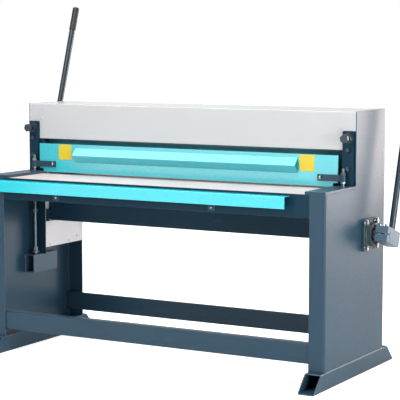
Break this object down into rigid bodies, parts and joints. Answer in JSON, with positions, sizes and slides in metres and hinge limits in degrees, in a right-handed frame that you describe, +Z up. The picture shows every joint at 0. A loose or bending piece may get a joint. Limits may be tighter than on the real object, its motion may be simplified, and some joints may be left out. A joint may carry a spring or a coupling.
{
  "type": "guillotine shear",
  "caption": "Hand-lever sheet metal shear: folded side frames, flat table, sprung hold-down with guard, and a raked knife beam drawn down by cranks on a cross shaft.",
  "frame": {"origin": "on the floor, under the middle of the whole object", "axes": "+X to the right along the table, +Y from the front to the back, +Z up"},
  "size_m": [1.794, 0.8816, 1.504],
  "materials": {
    "frame_paint": "semi-gloss dark steel-blue paint",
    "table_steel": "milled flat",
    "knife_steel": "ground",
    "zinc": "bright zinc plate",
    "strip_paint": "semi-gloss light blue paint",
    "cover_paint": "semi-gloss light grey paint",
    "panel_sheet": "semi-gloss light grey paint",
    "bearing_iron": "painted greenish grey",
    "bearing_steel": "ground",
    "guide_steel": "milled and oiled",
    "spring_steel": "zinc-plated wire",
    "crank_paint": "semi-gloss dark steel-blue paint",
    "lever_paint": "semi-gloss dark steel-blue paint",
    "grip_rubber": "smooth black",
    "guard_paint": "semi-gloss light blue paint",
    "pad_rubber": "hard black strip",
    "marker_yellow": "plain yellow film"
  },
  "bodies": {
    "frame": {"left_side_frame": "frame_paint", "right_side_frame": "frame_paint", "left_foot": "frame_paint", "right_foot": "frame_paint", "front_crossbar": "frame_paint", "rear_crossbar": "frame_paint", "left_top_plate": "frame_paint", "right_top_plate": "frame_paint", "column_plates": "frame_paint", "front_beam": "frame_paint", "table_plate": "table_steel", "table_ledge": "frame_paint", "lower_knife_beam": "frame_paint", "beam_mounts": "frame_paint", "lower_knife": "knife_steel", "lower_knife_screws": "zinc", "frame_bolts": "zinc", "edge_strip": "strip_paint", "strip_brackets": "strip_paint", "edge_strip_screws": "zinc", "top_cover": "cover_paint", "inner_panels": "panel_sheet", "sheet_screws": "zinc", "left_bearing_housing": "bearing_iron", "right_bearing_housing": "bearing_iron", "bearing_outer_rings": "bearing_steel", "bearing_bolts": "zinc", "guide_plates": "guide_steel", "guide_bars": "guide_steel", "guide_bolts": "zinc", "rod_brackets": "frame_paint", "spring_pins": "zinc", "left_hold_down_spring": "spring_steel", "right_hold_down_spring": "spring_steel", "left_return_spring": "spring_steel", "right_return_spring": "spring_steel"},
    "lever_shaft": {"cross_shaft": "bearing_steel", "cranks": "crank_paint", "crank_pins": "bearing_steel", "bearing_inner_rings": "bearing_steel", "left_clamp_block": "crank_paint", "right_clamp_block": "crank_paint", "clamp_screws": "zinc", "left_lever": "lever_paint", "right_lever": "lever_paint", "grips": "grip_rubber"},
    "knife_beam": {"upper_knife_beam": "frame_paint", "upper_knife": "knife_steel", "upper_knife_screws": "zinc", "yokes": "crank_paint", "pull_rods": "zinc"},
    "hold_down": {"guard_plate": "guard_paint", "guard_ridge": "guard_paint", "hold_down_bar": "frame_paint", "hold_down_pad": "pad_rubber", "hold_down_arms": "frame_paint", "arm_screws": "zinc", "hold_down_rods": "zinc", "rod_nuts": "zinc", "marker_plates": "marker_yellow"}
  },
  "joints": [
    {"name": "lever_turn", "type": "hinge", "parent": "frame", "child": "lever_shaft", "pos_m": [0, 0.059, 0.568], "axis": [1, 0, 0], "range_deg": [0, 75]},
    {"name": "knife_slide", "type": "slide", "parent": "frame", "child": "knife_beam", "axis": [0, 0, -1], "range_m": [0, 0.0725], "stiffness_N_per_m": 2800, "springref_m": -0.35, "deforming": ["left_return_spring", "right_return_spring"]},
    {"name": "hold_down_slide", "type": "slide", "parent": "frame", "child": "hold_down", "axis": [0, 0, -1], "range_m": [0, 0.0081], "deforming": ["left_hold_down_spring", "right_hold_down_spring"]}
  ],
  "couplings": [
    {"joint": "knife_slide", "follows": "lever_turn", "m_per_rad": 0.055},
    {"joint": "hold_down_slide", "follows": "lever_turn", "m_per_rad": 0.00611}
  ]
}
